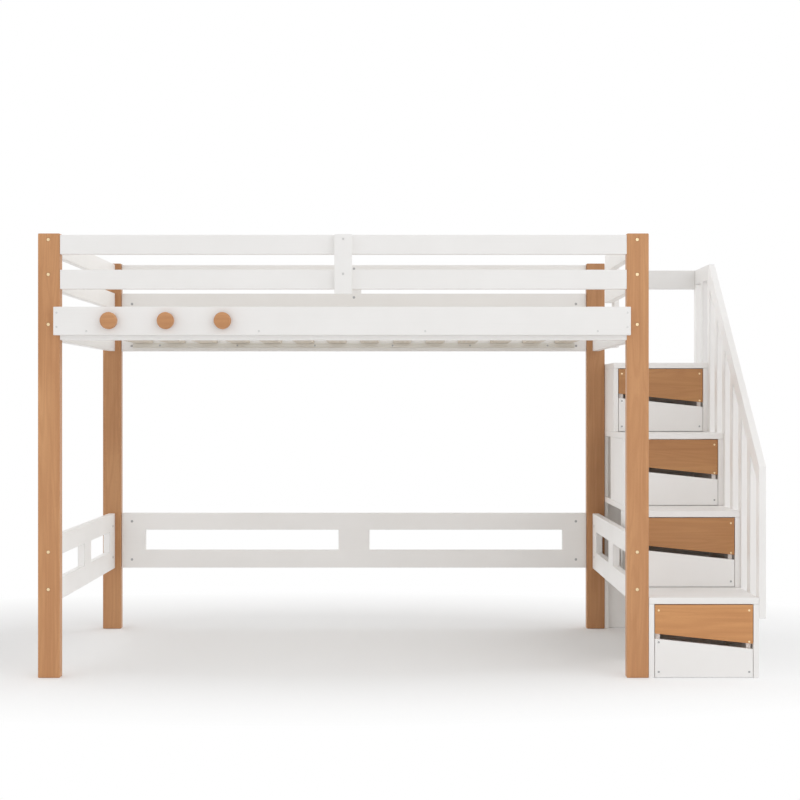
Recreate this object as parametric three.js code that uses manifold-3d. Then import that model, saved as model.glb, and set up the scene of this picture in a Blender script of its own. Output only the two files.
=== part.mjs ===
// A loft bed with a staircase of four drawers at its right end. Millimetres, +Z up.
// The bed's front faces -Y, and the staircase climbs from the front to the back at +X.
//
// Places are worked out from the bed's own datum: X from the middle of the bed, Y from the
// front faces of its front posts, and Z from the floor. The last lines move the origin to
// the middle of the whole footprint.

import * as THREE from "three";
import { mergeVertices } from "three/addons/utils/BufferGeometryUtils.js";
import Module from "manifold-3d";

// Room left between two pieces that are fastened face to face
const FIT_GAP = 0.3;

// Mattress
const MATTRESS_LENGTH = 1905;
const MATTRESS_WIDTH = 990;
const END_ROOM = 10;
const SIDE_ROOM = 12;

// Posts
const POST_WIDTH = 73;
const POST_DEPTH = 38;
const POST_HEIGHT = 1473;

// Rails that carry the bed
const SIDE_RAIL_THICKNESS = 30;
const END_RAIL_THICKNESS = 26;
const BED_RAIL_BELOW_POST_TOP = 256;
const BED_RAIL_HEIGHT = 98;

// Slats, the ledgers that they lie on, and the two straps that hold them in one roll
const LEDGER_RISE = 13;
const LEDGER_HEIGHT = 19;
const LEDGER_DEPTH = 20;
const LEDGER_END_INSET = 50;
const SLAT_COUNT = 14;
const SLAT_WIDTH = 70;
const SLAT_THICKNESS = 17;
const SLAT_FROM_END_RAIL = 82.5;
const SLAT_END_ROOM = 2;
const STRAP_WIDTH = 30;
const STRAP_THICKNESS = 2;
const STRAP_BITE = 0.5;
const STRAP_FROM_SLAT_END = 200;

// Guard rails
const GUARD_THICKNESS = 25;
const GUARD_HEIGHT = 64.5;
const GUARD_GAP = 51;
const GUARD_BELOW_POST_TOP = 5;
const BRACE_WIDTH = 58;
const BRACE_THICKNESS = 20;
const BRACE_TAIL = 18;
const ENTRY_WIDTH = 351;

// Cover board on the front, with three round pegs
const COVER_LAP = 13.5;
const COVER_SHIFT = -3.3;
const COVER_HEIGHT = 94;
const COVER_THICKNESS = 22;
const COVER_RISE = 15.5;
const PEG_COUNT = 3;
const PEG_DIAMETER = 56;
const PEG_LENGTH = 28;
const PEG_NECK_DIAMETER = 30;
const PEG_NECK_LENGTH = 9;
const PEG_ROUNDING = 5;
const PEG_FROM_COVER_END = 186;
const PEG_PITCH = 187;
const PEG_SIDES = 40;
const ROUNDING_STEPS = 4;

// Lower rails, each with two long openings
const LOWER_RAIL_BOTTOM = 244.5;
const LOWER_RAIL_HEIGHT = 221;
const OPENING_RISE = 71.5;
const OPENING_HEIGHT = 82;
const BACK_OPENING_MARGIN = 96.5;
const BACK_OPENING_BAR = 125;
const END_OPENING_MARGIN = 102;
const END_OPENING_BAR = 110;

// Staircase
const STEP_COUNT = 4;
const PLATFORM_BELOW_RAIL_TOP = 151;
const STAIR_BACK_INSET = 12;
const STAIR_WIDTH = 364.5;
const TREAD_THICKNESS = 22;
const STAIR_SIDE_THICKNESS = 18;
const LEFT_SIDE_DEPTH = 345;
const STILE_WIDTH = 15;
const STILE_DEPTH = 20;
const BACK_PANEL_THICKNESS = 6;

// Railing on the outer side of the staircase
const RAILING_THICKNESS = 24;
const BALUSTER_COUNT = 7;
const SLOPED_BALUSTERS = 6;
const BALUSTER_WIDTH = 42;
const BALUSTER_LAP = 70;
const HANDRAIL_WIDTH = 58;
const RAILING_BELOW_POST_TOP = 28;
const HANDRAIL_ANGLE = THREE.MathUtils.degToRad(43.5);
const PLATFORM_RAIL_THICKNESS = 20;
const PLATFORM_RAIL_HEIGHT = 76;

// Drawers: two front boards with a slanted finger slot between them, and a box
const FRONT_SIDE_GAP = 2;
const FRONT_TOP_GAP = 2;
const FRONT_BOTTOM_GAP = 2;
const FRONT_THICKNESS = 16;
const UPPER_FRONT_LEFT_HEIGHT = 95;
const FINGER_SLOT_HEIGHT = 17.5;
const FINGER_SLOT_DROP = 34;
const BOX_SIDE_GAP = 6;
const BOX_SIDE_THICKNESS = 15;
const BOX_BACK_THICKNESS = 15;
const BOX_FLOOR_THICKNESS = 6;
const BOX_FLOOR_RISE = 10;
const BOX_TOP_DROP = 8;
const BOX_BOTTOM_RISE = 8;
const BOX_END_ROOM = 9;
const RUNNER_HEIGHT = 16;
const RUNNER_RISE = 108;
const RUNNER_TIP_ROOM = 1;
const RUNNER_FRONT_INSET = 40;
const GROOVE_DEPTH = 6;
const GROOVE_ROOM_BELOW = 1.5;
const CUT_OVERRUN = 5;

// Bolts through the posts, each in a round recess. Those along Y hold the rails at the bed's
// ends, and those along X hold the rails along its sides.
const BOLT_RECESS_DIAMETER = 13;
const BOLT_RECESS_DEPTH = 3;
const BOLT_RECESS_SIDES = 16;
const POST_BOLT_SHIFT = -2;
const END_RAIL_BOLT_RISE = 3;
const GUARD_BOLT_RISE = 16.5;
const GUARD_BOLT_DROP = 10;
const SIDE_BOLT_INSET = 13;
const SIDE_RAIL_BOLT_SPACING = 55;
const LOWER_END_BOLT_SPACING = 124;
const LOWER_BACK_BOLT_SPACING = 154;

// Screws through the braces and the railing, each in a smaller recess
const SCREW_RECESS_DIAMETER = 9;
const SCREW_RECESS_DEPTH = 2;
const SCREW_RECESS_SIDES = 12;
const RAILING_SCREW_SPACING = 36;

// Sizes that follow from the ones above
const HALF_GAP = FIT_GAP / 2;
const ROOM_LENGTH = MATTRESS_LENGTH + 2 * END_ROOM;
const BED_LENGTH = ROOM_LENGTH + END_RAIL_THICKNESS + POST_WIDTH;
const BED_WIDTH = MATTRESS_WIDTH + 2 * SIDE_ROOM + 2 * SIDE_RAIL_THICKNESS;
const BED_END = BED_LENGTH / 2;
const BED_RAIL_TOP = POST_HEIGHT - BED_RAIL_BELOW_POST_TOP;
const BED_RAIL_BOTTOM = BED_RAIL_TOP - BED_RAIL_HEIGHT;
const POST_INNER_X = BED_END - POST_WIDTH;
const COVER_LENGTH = 2 * (POST_INNER_X + COVER_LAP);
const COVER_LEFT_X = COVER_SHIFT - COVER_LENGTH / 2;
const END_RAIL_INNER_X = ROOM_LENGTH / 2;
const END_RAIL_OUTER_X = END_RAIL_INNER_X + END_RAIL_THICKNESS;
const BACK_POST_Y = BED_WIDTH - POST_DEPTH;
const GUARD_TOP = POST_HEIGHT - GUARD_BELOW_POST_TOP;
const UPPER_GUARD_ZS = [GUARD_TOP - GUARD_HEIGHT, GUARD_TOP];
const LOWER_GUARD_ZS = UPPER_GUARD_ZS.map((z) => z - GUARD_HEIGHT - GUARD_GAP);
const BED_RAIL_ZS = [BED_RAIL_BOTTOM, BED_RAIL_TOP];
const LOWER_RAIL_ZS = [LOWER_RAIL_BOTTOM, LOWER_RAIL_BOTTOM + LOWER_RAIL_HEIGHT];
const SLAT_BOTTOM = BED_RAIL_BOTTOM + LEDGER_RISE + LEDGER_HEIGHT;
const SLAT_PITCH = (ROOM_LENGTH - 2 * SLAT_FROM_END_RAIL - SLAT_WIDTH) / (SLAT_COUNT - 1);
const STEP_RISE = (BED_RAIL_TOP - PLATFORM_BELOW_RAIL_TOP) / STEP_COUNT;
const STEP_RUN = (BED_WIDTH - STAIR_BACK_INSET) / STEP_COUNT;
const STAIR_DEPTH = STEP_COUNT * STEP_RUN;
const STAIR_LEFT = BED_END;
const STAIR_RIGHT = STAIR_LEFT + STAIR_WIDTH;
const BAY_HEIGHT = STEP_RISE - TREAD_THICKNESS;
const BAY_WIDTH = STAIR_WIDTH - 2 * STAIR_SIDE_THICKNESS;
const RAILING_OUTER_X = STAIR_RIGHT + RAILING_THICKNESS;
const BALUSTER_PITCH = (STAIR_DEPTH - BALUSTER_WIDTH) / (BALUSTER_COUNT + 1);
const HANDRAIL_SLOPE = Math.tan(HANDRAIL_ANGLE);
const HANDRAIL_PLUMB = HANDRAIL_WIDTH / Math.cos(HANDRAIL_ANGLE);
const MITRE_LOW_Y = SLOPED_BALUSTERS * BALUSTER_PITCH + BALUSTER_WIDTH;
const MITRE_TOP_Y = MITRE_LOW_Y - HANDRAIL_WIDTH * Math.tan(HANDRAIL_ANGLE / 2);
const RAILING_TOP = POST_HEIGHT - RAILING_BELOW_POST_TOP;
const HANDRAIL_START = RAILING_TOP - HANDRAIL_SLOPE * MITRE_TOP_Y;
const TOP_RAIL_BOTTOM = RAILING_TOP - HANDRAIL_WIDTH;
const RUNNER_THICKNESS = BOX_SIDE_GAP + GROOVE_DEPTH - RUNNER_TIP_ROOM;

const wood = new THREE.MeshStandardMaterial({ color: 0xc7925f, roughness: 0.6, metalness: 0 });
const white = new THREE.MeshStandardMaterial({ color: 0xedeae6, roughness: 0.5, metalness: 0 });
const slatWood = new THREE.MeshStandardMaterial({ color: 0xe6d6b8, roughness: 0.7, metalness: 0 });

const wasm = await Module();
wasm.setup();

// Stretches along one axis, each given as its two ends

const middle = ([low, high]) => (low + high) / 2;
const inset = ([low, high]) => [low + HALF_GAP, high - HALF_GAP];
const through = ([low, high]) => [low - CUT_OVERRUN, high + CUT_OVERRUN];
const spaced = (centre, spacing) => [centre - spacing / 2, centre + spacing / 2];

// Outlines and boards

// A flat outline drawn out along one axis. The outline lies in YZ, XZ or XY.
function drawOut(axis, outline, [from, to]) {
  const depth = to - from - FIT_GAP;
  const shape = new THREE.Shape(outline.map(([u, v]) => new THREE.Vector2(u, v)));
  const geometry = new THREE.ExtrudeGeometry(shape, { depth, bevelEnabled: false });
  const x = new THREE.Vector3(1, 0, 0);
  const y = new THREE.Vector3(0, 1, 0);
  const z = new THREE.Vector3(0, 0, 1);
  const turn = new THREE.Matrix4();
  if (axis === "x") turn.makeBasis(y, z, x).setPosition(from + HALF_GAP, 0, 0);
  if (axis === "y") turn.makeBasis(x, z, y.clone().negate()).setPosition(0, to - HALF_GAP, 0);
  if (axis === "z") turn.makeBasis(x, y, z).setPosition(0, 0, from + HALF_GAP);
  return geometry.applyMatrix4(turn);
}

function block([x0, x1], [y0, y1], [z0, z1]) {
  const geometry = new THREE.BoxGeometry(x1 - x0, y1 - y0, z1 - z0);
  return geometry.translate((x0 + x1) / 2, (y0 + y1) / 2, (z0 + z1) / 2);
}

function piece(name, material, geometry) {
  const mesh = new THREE.Mesh(geometry, material);
  mesh.name = name;
  return mesh;
}

// A straight board, cut a hair small all round so that its neighbours stand FIT_GAP away
function board(name, material, xs, ys, zs) {
  const size = [xs, ys, zs].map(([low, high]) => high - low - FIT_GAP);
  const mesh = piece(name, material, new THREE.BoxGeometry(...size));
  mesh.position.set(...[xs, ys, zs].map(middle));
  return mesh;
}

// Joins and cuts

function toSolid(geometry) {
  const plain = geometry.index ? geometry.toNonIndexed() : geometry.clone();
  const bare = new THREE.BufferGeometry().setAttribute("position", plain.getAttribute("position"));
  const merged = mergeVertices(bare);
  return new wasm.Manifold(
    new wasm.Mesh({
      numProp: 3,
      vertProperties: merged.getAttribute("position").array,
      triVerts: new Uint32Array(merged.index.array),
    }),
  );
}

function join(geometries, cuts = []) {
  let result = geometries.map(toSolid).reduce((whole, next) => whole.add(next));
  for (const cut of cuts) result = result.subtract(toSolid(cut));
  const { vertProperties, triVerts } = result.getMesh();
  return new THREE.BufferGeometry()
    .setAttribute("position", new THREE.BufferAttribute(vertProperties, 3))
    .setIndex(new THREE.BufferAttribute(triVerts, 1));
}

// A round cut into a face of a piece. The face looks along `out`, and `at` is a point on it.
function recess(at, out, diameter, depth, sides) {
  const length = depth + CUT_OVERRUN;
  const turn = new THREE.Quaternion().setFromUnitVectors(new THREE.Vector3(0, 1, 0), out);
  return new THREE.CylinderGeometry(diameter / 2, diameter / 2, length, sides)
    .translate(0, length / 2 - depth, 0)
    .applyQuaternion(turn)
    .translate(...at);
}

function boltRecess(at, out) {
  return recess(at, out, BOLT_RECESS_DIAMETER, BOLT_RECESS_DEPTH, BOLT_RECESS_SIDES);
}

function screwRecess(at, out) {
  return recess(at, out, SCREW_RECESS_DIAMETER, SCREW_RECESS_DEPTH, SCREW_RECESS_SIDES);
}

const LEFTWARD = new THREE.Vector3(-1, 0, 0);
const RIGHTWARD = new THREE.Vector3(1, 0, 0);
const FORWARD = new THREE.Vector3(0, -1, 0);
const BACKWARD = new THREE.Vector3(0, 1, 0);

// A straight board with recesses in its faces
function drilledBoard(name, material, xs, ys, zs, recesses) {
  return piece(name, material, join([block(inset(xs), inset(ys), inset(zs))], recesses));
}

// Bed frame

// No guard rail meets the back right post at the bed's end, where the way in is
function boltHeights(side, row) {
  const guards = [UPPER_GUARD_ZS, LOWER_GUARD_ZS].map(middle);
  const bedRail = middle(BED_RAIL_ZS);
  const lowerRail = middle(LOWER_RAIL_ZS);
  const alongY = [bedRail + END_RAIL_BOLT_RISE, ...spaced(lowerRail, LOWER_END_BOLT_SPACING)];
  const alongX = spaced(bedRail, SIDE_RAIL_BOLT_SPACING);
  alongX.push(...guards.map((z) => z - GUARD_BOLT_DROP));
  if (row === "back") alongX.push(...spaced(lowerRail, LOWER_BACK_BOLT_SPACING));
  if (side === "left" || row === "front") alongY.push(...guards.map((z) => z + GUARD_BOLT_RISE));
  return { alongX, alongY };
}

function posts() {
  const sides = {
    left: { xs: [-BED_END, -POST_INNER_X], face: -BED_END, out: LEFTWARD },
    right: { xs: [POST_INNER_X, BED_END], face: BED_END, out: RIGHTWARD },
  };
  const rows = {
    front: { ys: [0, POST_DEPTH], face: 0, out: FORWARD, boltY: SIDE_BOLT_INSET },
    back: {
      ys: [BACK_POST_Y, BED_WIDTH],
      face: BED_WIDTH,
      out: BACKWARD,
      boltY: BED_WIDTH - SIDE_BOLT_INSET,
    },
  };
  return Object.entries(rows).flatMap(([rowName, row]) =>
    Object.entries(sides).map(([sideName, side]) => {
      const { alongX, alongY } = boltHeights(sideName, rowName);
      const recesses = [
        ...alongY.map((z) => boltRecess([middle(side.xs) + POST_BOLT_SHIFT, row.face, z], row.out)),
        ...alongX.map((z) => boltRecess([side.face, row.boltY, z], side.out)),
      ];
      const name = `post_${rowName}_${sideName}`;
      return drilledBoard(name, wood, side.xs, row.ys, [0, POST_HEIGHT], recesses);
    }),
  );
}

function bedRails() {
  const alongX = [-POST_INNER_X, POST_INNER_X];
  const alongY = [POST_DEPTH, BACK_POST_Y];
  const left = [-END_RAIL_OUTER_X, -END_RAIL_INNER_X];
  const right = [END_RAIL_INNER_X, END_RAIL_OUTER_X];
  const back = [BED_WIDTH - SIDE_RAIL_THICKNESS, BED_WIDTH];
  return [
    board("side_rail_front", white, alongX, [0, SIDE_RAIL_THICKNESS], BED_RAIL_ZS),
    board("side_rail_back", white, alongX, back, BED_RAIL_ZS),
    board("end_rail_left", white, left, alongY, BED_RAIL_ZS),
    board("end_rail_right", white, right, alongY, BED_RAIL_ZS),
  ];
}

function guardScrewHeights() {
  return [UPPER_GUARD_ZS, LOWER_GUARD_ZS].map((zs) => middle(zs) + GUARD_BOLT_RISE);
}

// The front and back guards have two rails and a brace over their outer faces
function longGuards() {
  const alongX = [-POST_INNER_X, POST_INNER_X];
  const braceXs = [-BRACE_WIDTH / 2, BRACE_WIDTH / 2];
  const braceZs = [LOWER_GUARD_ZS[0] - BRACE_TAIL, GUARD_TOP];
  const rows = {
    front: {
      rail: [0, GUARD_THICKNESS],
      brace: [-BRACE_THICKNESS, 0],
      face: -BRACE_THICKNESS,
      out: FORWARD,
    },
    back: {
      rail: [BED_WIDTH - GUARD_THICKNESS, BED_WIDTH],
      brace: [BED_WIDTH, BED_WIDTH + BRACE_THICKNESS],
      face: BED_WIDTH + BRACE_THICKNESS,
      out: BACKWARD,
    },
  };
  return Object.entries(rows).flatMap(([row, { rail, brace, face, out }]) => {
    const screws = guardScrewHeights().map((z) => screwRecess([0, face, z], out));
    return [
      board(`guard_rail_${row}_upper`, white, alongX, rail, UPPER_GUARD_ZS),
      board(`guard_rail_${row}_lower`, white, alongX, rail, LOWER_GUARD_ZS),
      drilledBoard(`guard_brace_${row}`, white, braceXs, brace, braceZs, screws),
    ];
  });
}

// The left guard closes its end. The right one stops short, at the way in from the stairs.
function endGuards() {
  const left = [-END_RAIL_OUTER_X, -END_RAIL_INNER_X];
  const right = [END_RAIL_INNER_X, END_RAIL_OUTER_X];
  const closed = [POST_DEPTH, BACK_POST_Y];
  const open = [POST_DEPTH, BACK_POST_Y - ENTRY_WIDTH];
  const postXs = [END_RAIL_OUTER_X, END_RAIL_OUTER_X + BRACE_THICKNESS];
  const postYs = [open[1] - BRACE_WIDTH, open[1]];
  const postZs = [BED_RAIL_BOTTOM, GUARD_TOP];
  const screwHeights = [...guardScrewHeights(), middle(BED_RAIL_ZS)];
  const screws = screwHeights.map((z) => screwRecess([postXs[1], middle(postYs), z], RIGHTWARD));
  return [
    board("guard_rail_left_upper", white, left, closed, UPPER_GUARD_ZS),
    board("guard_rail_left_lower", white, left, closed, LOWER_GUARD_ZS),
    board("guard_rail_right_upper", white, right, open, UPPER_GUARD_ZS),
    board("guard_rail_right_lower", white, right, open, LOWER_GUARD_ZS),
    drilledBoard("guard_post_right", white, postXs, postYs, postZs, screws),
  ];
}

function coverBoard() {
  const bottom = BED_RAIL_BOTTOM + COVER_RISE;
  const xs = [COVER_LEFT_X, COVER_LEFT_X + COVER_LENGTH];
  return board("cover_board", white, xs, [-COVER_THICKNESS, 0], [bottom, bottom + COVER_HEIGHT]);
}

// A turned peg: a narrow neck and a wide head with a rounded rim, standing on its own axis
function pegGeometry() {
  const reach = PEG_LENGTH - FIT_GAP;
  const radius = PEG_DIAMETER / 2;
  const profile = [
    new THREE.Vector2(0, 0),
    new THREE.Vector2(PEG_NECK_DIAMETER / 2, 0),
    new THREE.Vector2(PEG_NECK_DIAMETER / 2, PEG_NECK_LENGTH),
    new THREE.Vector2(radius, PEG_NECK_LENGTH),
  ];
  for (let i = 0; i <= ROUNDING_STEPS; i++) {
    const angle = ((i / ROUNDING_STEPS) * Math.PI) / 2;
    profile.push(
      new THREE.Vector2(
        radius - PEG_ROUNDING * (1 - Math.cos(angle)),
        reach - PEG_ROUNDING * (1 - Math.sin(angle)),
      ),
    );
  }
  profile.push(new THREE.Vector2(0, reach));
  return new THREE.LatheGeometry(profile, PEG_SIDES);
}

function pegs() {
  const height = BED_RAIL_BOTTOM + COVER_RISE + COVER_HEIGHT / 2;
  return Array.from({ length: PEG_COUNT }, (_, i) => {
    const peg = piece(`peg_${i + 1}`, wood, pegGeometry());
    const x = COVER_LEFT_X + PEG_FROM_COVER_END + i * PEG_PITCH;
    peg.position.set(x, -COVER_THICKNESS - HALF_GAP, height);
    peg.rotation.x = Math.PI;
    return peg;
  });
}

// The stretches of the two openings in a lower rail, given the stretch of the rail itself
function openingStretches([start, end], margin, bar) {
  const [barStart, barEnd] = spaced(middle([start, end]), bar);
  return [
    [start + margin, barStart],
    [barEnd, end - margin],
  ];
}

function lowerRails() {
  const heights = inset(LOWER_RAIL_ZS);
  const openingBottom = LOWER_RAIL_BOTTOM + OPENING_RISE;
  const openingZs = [openingBottom, openingBottom + OPENING_HEIGHT];
  const alongX = [-POST_INNER_X, POST_INNER_X];
  const alongY = [POST_DEPTH, BACK_POST_Y];
  const backYs = inset([BED_WIDTH - GUARD_THICKNESS, BED_WIDTH]);
  const backCuts = openingStretches(alongX, BACK_OPENING_MARGIN, BACK_OPENING_BAR);
  const endCuts = openingStretches(alongY, END_OPENING_MARGIN, END_OPENING_BAR);
  const back = join(
    [block(inset(alongX), backYs, heights)],
    backCuts.map((xs) => block(xs, through(backYs), openingZs)),
  );
  const end = (xs) =>
    join(
      [block(xs, inset(alongY), heights)],
      endCuts.map((ys) => block(through(xs), ys, openingZs)),
    );
  return [
    piece("lower_rail_back", white, back),
    piece("lower_rail_left", white, end(inset([-END_RAIL_OUTER_X, -END_RAIL_INNER_X]))),
    piece("lower_rail_right", white, end(inset([END_RAIL_INNER_X, END_RAIL_OUTER_X]))),
  ];
}

function ledgers() {
  const alongX = [LEDGER_END_INSET - POST_INNER_X, POST_INNER_X - LEDGER_END_INSET];
  const heights = [SLAT_BOTTOM - LEDGER_HEIGHT, SLAT_BOTTOM];
  const front = [SIDE_RAIL_THICKNESS, SIDE_RAIL_THICKNESS + LEDGER_DEPTH];
  const back = front.map((y) => BED_WIDTH - y).reverse();
  return [
    board("slat_ledger_front", slatWood, alongX, front, heights),
    board("slat_ledger_back", slatWood, alongX, back, heights),
  ];
}

// The slats lie on the ledgers and are held at their spacing by two straps
function slatRoll() {
  const ys = [
    SIDE_RAIL_THICKNESS + SLAT_END_ROOM,
    BED_WIDTH - SIDE_RAIL_THICKNESS - SLAT_END_ROOM,
  ];
  const bottom = SLAT_BOTTOM + HALF_GAP;
  const top = SLAT_BOTTOM + SLAT_THICKNESS;
  const firstMiddle = (-(SLAT_COUNT - 1) / 2) * SLAT_PITCH;
  const slats = Array.from({ length: SLAT_COUNT }, (_, i) =>
    block(spaced(firstMiddle + i * SLAT_PITCH, SLAT_WIDTH), ys, [bottom, top]),
  );
  const strapXs = [firstMiddle - SLAT_WIDTH / 2, -firstMiddle + SLAT_WIDTH / 2];
  const strapZs = [top - STRAP_BITE, top + STRAP_THICKNESS];
  const straps = [ys[0] + STRAP_FROM_SLAT_END, ys[1] - STRAP_FROM_SLAT_END].map((y) =>
    block(strapXs, spaced(y, STRAP_WIDTH), strapZs),
  );
  return piece("slat_roll", slatWood, join([...slats, ...straps]));
}

// Staircase

const stepFront = (level) => (level - 1) * STEP_RUN;
const bayBottom = (level) => (level - 1) * STEP_RISE;
const bayTop = (level) => bayBottom(level) + BAY_HEIGHT;

// Each tread runs on to the back as a shelf. The lower ones are notched round the stile.
function treads() {
  const notchX = STAIR_LEFT + STILE_WIDTH;
  const notchY = STAIR_DEPTH - STILE_DEPTH;
  return Array.from({ length: STEP_COUNT }, (_, i) => {
    const level = i + 1;
    const front = stepFront(level) + HALF_GAP;
    const back = STAIR_DEPTH - HALF_GAP;
    const left = STAIR_LEFT + HALF_GAP;
    const right = STAIR_RIGHT - HALF_GAP;
    const corner = [
      [notchX + HALF_GAP, back],
      [notchX + HALF_GAP, notchY - HALF_GAP],
      [left, notchY - HALF_GAP],
    ];
    const rearLeft = level < STEP_COUNT ? corner : [[left, back]];
    const outline = [[left, front], [right, front], [right, back], ...rearLeft];
    const zs = [bayTop(level), bayTop(level) + TREAD_THICKNESS];
    return piece(`tread_${level}`, white, drawOut("z", outline, zs));
  });
}

// How far back the left side of a level reaches, from the front of that level
function leftSideDepth(level) {
  return Math.min(LEFT_SIDE_DEPTH, STAIR_DEPTH - STILE_DEPTH - stepFront(level));
}

// How far back a drawer can go in its level
function bayDepth(level) {
  return Math.min(LEFT_SIDE_DEPTH, STAIR_DEPTH - stepFront(level));
}

// Each level has its own pair of sides, with a drawer runner glued to the inner face
function stairSides() {
  return Array.from({ length: STEP_COUNT }, (_, i) => i + 1).flatMap((level) => {
    const front = stepFront(level) + HALF_GAP;
    const zs = [bayBottom(level) + HALF_GAP, bayTop(level) - HALF_GAP];
    const leftXs = [STAIR_LEFT + HALF_GAP, STAIR_LEFT + STAIR_SIDE_THICKNESS];
    const rightXs = [STAIR_RIGHT - STAIR_SIDE_THICKNESS, STAIR_RIGHT - HALF_GAP];
    const leftBack = stepFront(level) + leftSideDepth(level) - HALF_GAP;
    const rightBack = STAIR_DEPTH - HALF_GAP;
    const runnerYs = [front + RUNNER_FRONT_INSET, leftBack];
    const runnerBottom = bayBottom(level) + RUNNER_RISE;
    const runnerZs = [runnerBottom, runnerBottom + RUNNER_HEIGHT];
    const leftRunnerXs = [leftXs[0], leftXs[1] + RUNNER_THICKNESS];
    const rightRunnerXs = [rightXs[0] - RUNNER_THICKNESS, rightXs[1]];
    const left = [
      block(leftXs, [front, leftBack], zs),
      block(leftRunnerXs, runnerYs, runnerZs),
    ];
    const right = [
      block(rightXs, [front, rightBack], zs),
      block(rightRunnerXs, runnerYs, runnerZs),
    ];
    return [
      piece(`stair_side_left_${level}`, white, join(left)),
      piece(`stair_side_right_${level}`, white, join(right)),
    ];
  });
}

function stairBack() {
  const top = bayTop(STEP_COUNT);
  const stileXs = [STAIR_LEFT, STAIR_LEFT + STILE_WIDTH];
  const panelYs = [STAIR_DEPTH, STAIR_DEPTH + BACK_PANEL_THICKNESS];
  const panelZs = [0, top + TREAD_THICKNESS];
  return [
    board("stair_stile", white, stileXs, [STAIR_DEPTH - STILE_DEPTH, STAIR_DEPTH], [0, top]),
    board("stair_back_panel", white, [STAIR_LEFT, STAIR_RIGHT], panelYs, panelZs),
  ];
}

// Railing

const handrailTop = (y) => HANDRAIL_START + HANDRAIL_SLOPE * y;
const handrailUnderside = (y) => handrailTop(y) - HANDRAIL_PLUMB;

// A baluster laps the tread that its front edge stands beside
function balusterBottom(y) {
  const level = Math.floor(y / STEP_RUN) + 1;
  return bayTop(level) + TREAD_THICKNESS - BALUSTER_LAP;
}

const balusterFront = (index) => index * BALUSTER_PITCH;

// The two screws that hold the foot of an upright against the staircase
function footScrews(index) {
  const y = balusterFront(index) + BALUSTER_WIDTH / 2;
  const lapMiddle = balusterBottom(balusterFront(index)) + BALUSTER_LAP / 2;
  return spaced(lapMiddle, RAILING_SCREW_SPACING).map((z) =>
    screwRecess([RAILING_OUTER_X, y, z], RIGHTWARD),
  );
}

// A flat piece of the railing, with screws in the feet of some uprights
function railingPiece(name, outline, uprights) {
  const body = drawOut("x", outline, [STAIR_RIGHT, RAILING_OUTER_X]);
  return piece(name, white, join([body], uprights.flatMap(footScrews)));
}

// The way down round one baluster and up again, going from the back to the front
function balusterLegs(index, underside) {
  const front = balusterFront(index) + HALF_GAP;
  const back = balusterFront(index) + BALUSTER_WIDTH - HALF_GAP;
  const bottom = balusterBottom(balusterFront(index));
  return [
    [back, underside(back)],
    [back, bottom],
    [front, bottom],
    [front, underside(front)],
  ];
}

function railing() {
  const flat = () => TOP_RAIL_BOTTOM;
  const front = HALF_GAP;
  const back = STAIR_DEPTH - HALF_GAP;
  const slopeEnd = MITRE_TOP_Y - HALF_GAP;

  const sloped = [
    [front, handrailUnderside(front)],
    [front, handrailTop(front)],
    [slopeEnd, handrailTop(slopeEnd)],
  ];
  const slopedUprights = [];
  for (let i = SLOPED_BALUSTERS; i >= 1; i--) {
    sloped.push(...balusterLegs(i, handrailUnderside));
    slopedUprights.push(i);
  }

  const level = [
    [MITRE_LOW_Y + HALF_GAP, TOP_RAIL_BOTTOM],
    [MITRE_TOP_Y + HALF_GAP, RAILING_TOP],
    [back, RAILING_TOP],
    [back, TOP_RAIL_BOTTOM],
  ];
  const levelUprights = [];
  for (let i = BALUSTER_COUNT; i > SLOPED_BALUSTERS; i--) {
    level.push(...balusterLegs(i, flat));
    levelUprights.push(i);
  }

  const newelBack = BALUSTER_WIDTH - HALF_GAP;
  const newel = [
    [front, balusterBottom(0)],
    [newelBack, balusterBottom(0)],
    [newelBack, handrailUnderside(newelBack) - FIT_GAP],
    [front, handrailUnderside(front) - FIT_GAP],
  ];
  const rearIndex = BALUSTER_COUNT + 1;
  const rearYs = inset([balusterFront(rearIndex), STAIR_DEPTH]);
  const rearZs = inset([balusterBottom(balusterFront(rearIndex)), TOP_RAIL_BOTTOM]);
  const rearPost = [
    [rearYs[0], rearZs[0]],
    [rearYs[1], rearZs[0]],
    [rearYs[1], rearZs[1]],
    [rearYs[0], rearZs[1]],
  ];
  const platformRailYs = [STAIR_DEPTH - PLATFORM_RAIL_THICKNESS, STAIR_DEPTH];
  const platformRailZs = [RAILING_TOP - PLATFORM_RAIL_HEIGHT, RAILING_TOP];
  return [
    railingPiece("railing_handrail", sloped, slopedUprights),
    railingPiece("railing_top_rail", level, levelUprights),
    railingPiece("railing_newel", newel, [0]),
    railingPiece("railing_rear_post", rearPost, [rearIndex]),
    board("platform_back_rail", white, [STAIR_LEFT, STAIR_RIGHT], platformRailYs, platformRailZs),
  ];
}

// Drawers. A drawer is drawn with its origin at the front left floor corner of its bay.

function drawerFronts(name) {
  const left = FRONT_SIDE_GAP;
  const right = BAY_WIDTH - FRONT_SIDE_GAP;
  const bottom = FRONT_BOTTOM_GAP;
  const top = BAY_HEIGHT - FRONT_TOP_GAP;
  const slotTop = top - UPPER_FRONT_LEFT_HEIGHT;
  const slotBottom = slotTop - FINGER_SLOT_HEIGHT;
  const ys = [0, FRONT_THICKNESS];
  const upper = [
    [left, slotTop],
    [right, slotTop - FINGER_SLOT_DROP],
    [right, top],
    [left, top],
  ];
  const lower = [
    [left, bottom],
    [right, bottom],
    [right, slotBottom - FINGER_SLOT_DROP],
    [left, slotBottom],
  ];
  return [
    piece(`${name}_front_upper`, wood, drawOut("y", upper, ys)),
    piece(`${name}_front_lower`, white, drawOut("y", lower, ys)),
  ];
}

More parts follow.
